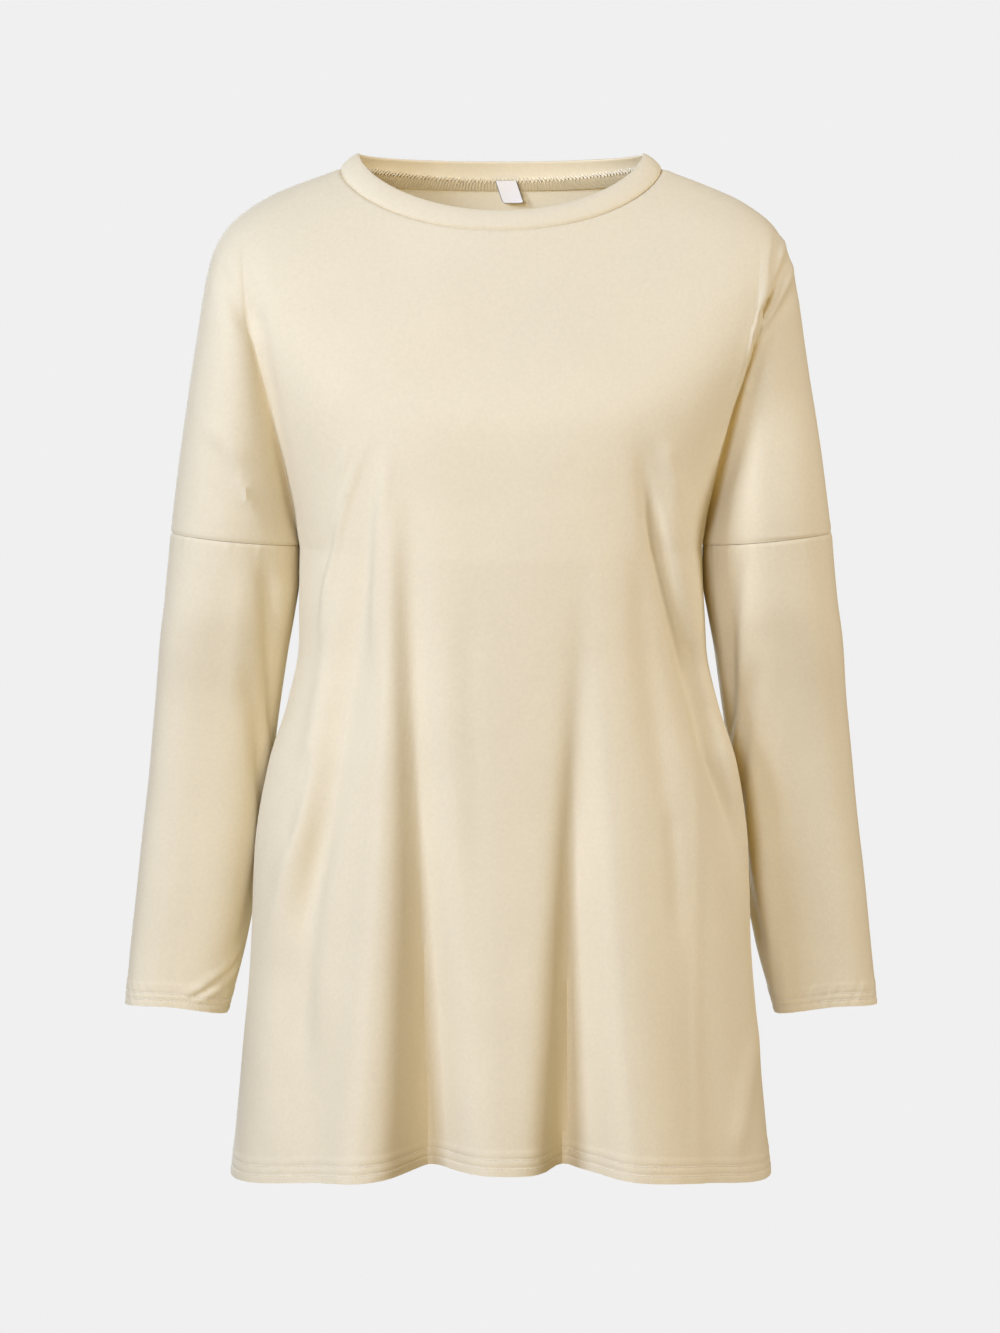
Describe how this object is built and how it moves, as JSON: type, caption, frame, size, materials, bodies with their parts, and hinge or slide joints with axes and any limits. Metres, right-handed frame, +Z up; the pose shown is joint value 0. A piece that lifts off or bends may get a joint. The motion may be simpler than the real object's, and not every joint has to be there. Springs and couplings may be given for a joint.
{
  "type": "long-sleeve t-shirt",
  "caption": "Hollow long-sleeve jersey t-shirt, tunic length, with dropped shoulders, a round neckband and folds that open towards the hem, filled out as if worn",
  "frame": {"origin": "midway between the two points where the neckline meets the shoulder seams, on the line along which the wearer's shoulders carry the shirt", "axes": "+Z up the body, -Y out of the front, +X towards the right of the front view"},
  "size_m": [0.5538, 0.2409, 0.7343],
  "materials": {
    "jersey": "soft matte cream cotton jersey with a fine knit",
    "band": "the same cream jersey, folded double",
    "label": "smooth white woven tape, blank"
  },
  "bodies": {
    "root": {"front_panel": "jersey", "back_panel": "jersey", "left_sleeve": "jersey", "right_sleeve": "jersey", "neckband": "band", "neck_label": "label"}
  },
  "joints": []
}
